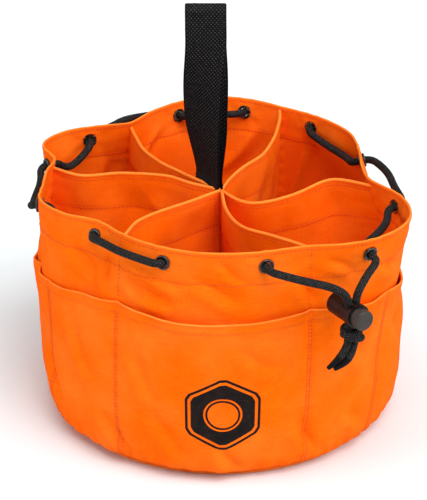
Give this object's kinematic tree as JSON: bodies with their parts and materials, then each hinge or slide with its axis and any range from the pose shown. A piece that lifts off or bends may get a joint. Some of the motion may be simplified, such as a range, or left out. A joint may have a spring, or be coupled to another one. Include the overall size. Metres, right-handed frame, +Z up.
{
  "type": "drawstring tool bag",
  "caption": "Round canvas drawstring tool bag with divided interior, outer pockets, a webbing loop handle and a spring cord lock.",
  "frame": {"origin": "middle of the round base's underside, on the floor", "axes": "+Z up along the bag's axis, the wide front pocket faces -Y"},
  "size_m": [0.3075, 0.3354, 0.338],
  "materials": {
    "canvas": "fine woven canvas, safety orange",
    "webbing": "ribbed polypropylene webbing",
    "cord": "round braided cord",
    "eyelet": "black painted brass",
    "lock": "moulded, satin",
    "button": "moulded, satin",
    "spring": "drawn wire"
  },
  "bodies": {
    "bag": {"base_panel": "canvas", "outer_wall": "canvas", "pocket_band": "canvas", "pocket_seams": "canvas", "divider_front_left": "canvas", "divider_front_right": "canvas", "divider_right": "canvas", "divider_back_right": "canvas", "divider_back_left": "canvas", "divider_left": "canvas", "strap_tail": "webbing", "eyelet_01": "eyelet", "eyelet_02": "eyelet", "eyelet_03": "eyelet", "eyelet_04": "eyelet", "eyelet_05": "eyelet", "eyelet_06": "eyelet", "eyelet_07": "eyelet", "eyelet_08": "eyelet", "eyelet_09": "eyelet", "eyelet_10": "eyelet", "eyelet_11": "eyelet", "eyelet_12": "eyelet", "eyelet_washer_01": "eyelet", "eyelet_washer_02": "eyelet", "eyelet_washer_03": "eyelet", "eyelet_washer_04": "eyelet", "eyelet_washer_05": "eyelet", "eyelet_washer_06": "eyelet", "eyelet_washer_07": "eyelet", "eyelet_washer_08": "eyelet", "eyelet_washer_09": "eyelet", "eyelet_washer_10": "eyelet", "eyelet_washer_11": "eyelet", "eyelet_washer_12": "eyelet", "drawcord_laced": "cord", "drawcord_end_left": "cord", "drawcord_end_right": "cord", "drawcord_knot": "cord", "drawcord_tail_left": "cord", "drawcord_tail_right": "cord"},
    "handle": {"handle_strap": "webbing"},
    "lock": {"lock_barrel": "lock", "lock_spring": "spring"},
    "button": {"lock_button": "button"}
  },
  "joints": [
    {"name": "handle_swing", "type": "hinge", "parent": "bag", "child": "handle", "pos_m": [-0.0111, 0.0115, 0.192], "axis": [-0.6947, 0.7193, 0], "range_deg": [-75, 75]},
    {"name": "lock_slide", "type": "slide", "parent": "bag", "child": "lock", "axis": [0, 0, 1], "range_m": [0, 0.016], "deforming": ["drawcord_end_left", "drawcord_end_right"]},
    {"name": "button_press", "type": "slide", "parent": "lock", "child": "button", "axis": [-0.5255, 0.8508, 0], "range_m": [0, 0.004], "stiffness_N_per_m": 300, "springref_m": -0.004, "deforming": ["lock_spring"]}
  ]
}
